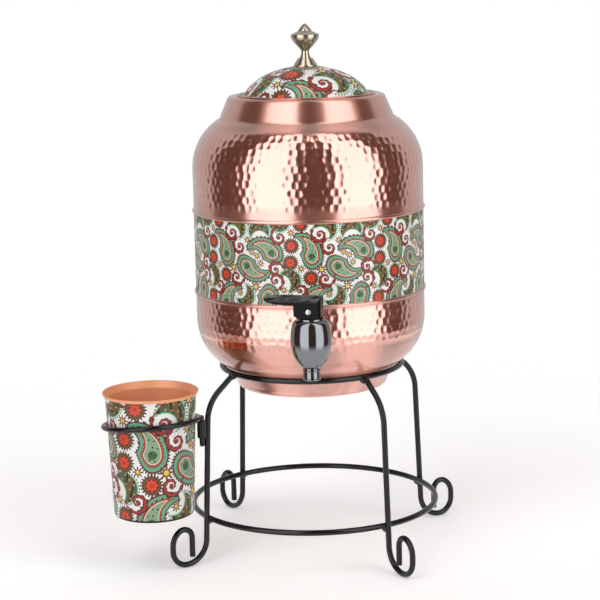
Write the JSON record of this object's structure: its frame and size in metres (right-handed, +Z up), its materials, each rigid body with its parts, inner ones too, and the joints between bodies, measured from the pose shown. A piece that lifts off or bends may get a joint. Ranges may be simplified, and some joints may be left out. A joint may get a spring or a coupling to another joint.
{
  "type": "water_dispenser",
  "caption": "Copper water dispenser with a printed band, lever tap and lift-off lid, on a bent rod stand with a tumbler in a swing-out holder",
  "frame": {"origin": "on the floor under the vessel's axis", "axes": "+Z up along the vessel's axis, -Y towards the tap's side, +X to the right when facing the tap"},
  "size_m": [0.3104, 0.2763, 0.4593],
  "materials": {
    "rod_black": "satin black coating on bent steel rod",
    "copper": "bright copper sheet, hammered on the shoulder and the bowl, lacquered",
    "printed_copper": "glossy white print with paisley figures on copper sheet",
    "knob_brass": "polished pale brass",
    "tap_chrome": "polished chrome plate",
    "lever_plastic": "moulded black plastic",
    "seal_rubber": "soft black rubber",
    "steel": "plain stainless steel"
  },
  "bodies": {
    "stand": {"stand_top_ring": "rod_black", "stand_bottom_ring": "rod_black", "leg_back_right": "rod_black", "leg_back_left": "rod_black", "leg_front_left": "rod_black", "leg_front_right": "rod_black", "cup_holder_sleeve": "rod_black"},
    "cup_holder": {"cup_holder_ring": "rod_black"},
    "tumbler": {"tumbler": "printed_copper"},
    "vessel": {"lower_bowl": "copper", "foot_ring": "copper", "belly_band": "printed_copper", "shoulder_shell": "copper", "tap_body": "tap_chrome", "tap_bonnet": "tap_chrome", "tap_outer_washer": "seal_rubber", "tap_inner_washer": "seal_rubber", "tap_lock_nut": "steel", "stem_seal": "seal_rubber", "return_spring": "steel"},
    "lid": {"lid_dome": "printed_copper", "lid_skirt": "copper", "lid_knob": "knob_brass", "knob_washer": "steel", "knob_nut": "steel"},
    "valve": {"valve_cup": "seal_rubber"},
    "stem": {"valve_stem": "steel", "lever_pin": "steel"},
    "lever": {"tap_lever": "lever_plastic"}
  },
  "joints": [
    {"name": "cup_holder_swing", "type": "hinge", "parent": "stand", "child": "cup_holder", "pos_m": [-0.09541, -0.06315, 0.1192], "axis": [0, 0, 1], "range_deg": [-25, 75]},
    {"name": "tumbler_lift", "type": "slide", "parent": "cup_holder", "child": "tumbler", "axis": [0, 0, 1], "range_m": [0, 0.11]},
    {"name": "vessel_lift", "type": "slide", "parent": "stand", "child": "vessel", "axis": [0, 0, 1], "range_m": [0, 0.08]},
    {"name": "lid_lift", "type": "slide", "parent": "vessel", "child": "lid", "axis": [0, 0, 1], "range_m": [0, 0.05]},
    {"name": "valve_lift", "type": "slide", "parent": "vessel", "child": "valve", "axis": [0, 0, 1], "range_m": [0, 0.00314], "stiffness_N_per_m": 80, "springref_m": -0.005, "deforming": ["return_spring"]},
    {"name": "lever_swivel", "type": "hinge", "parent": "valve", "child": "stem", "pos_m": [0, -0.14, 0.2], "axis": [0, 0, 1], "continuous": true},
    {"name": "lever_tilt", "type": "hinge", "parent": "stem", "child": "lever", "pos_m": [0, -0.14, 0.23498], "axis": [-0.2419, -0.9703, 0], "range_deg": [0, 30]}
  ],
  "couplings": [
    {"joint": "lever_tilt", "follows": "valve_lift", "rad_per_m": 166.67}
  ]
}
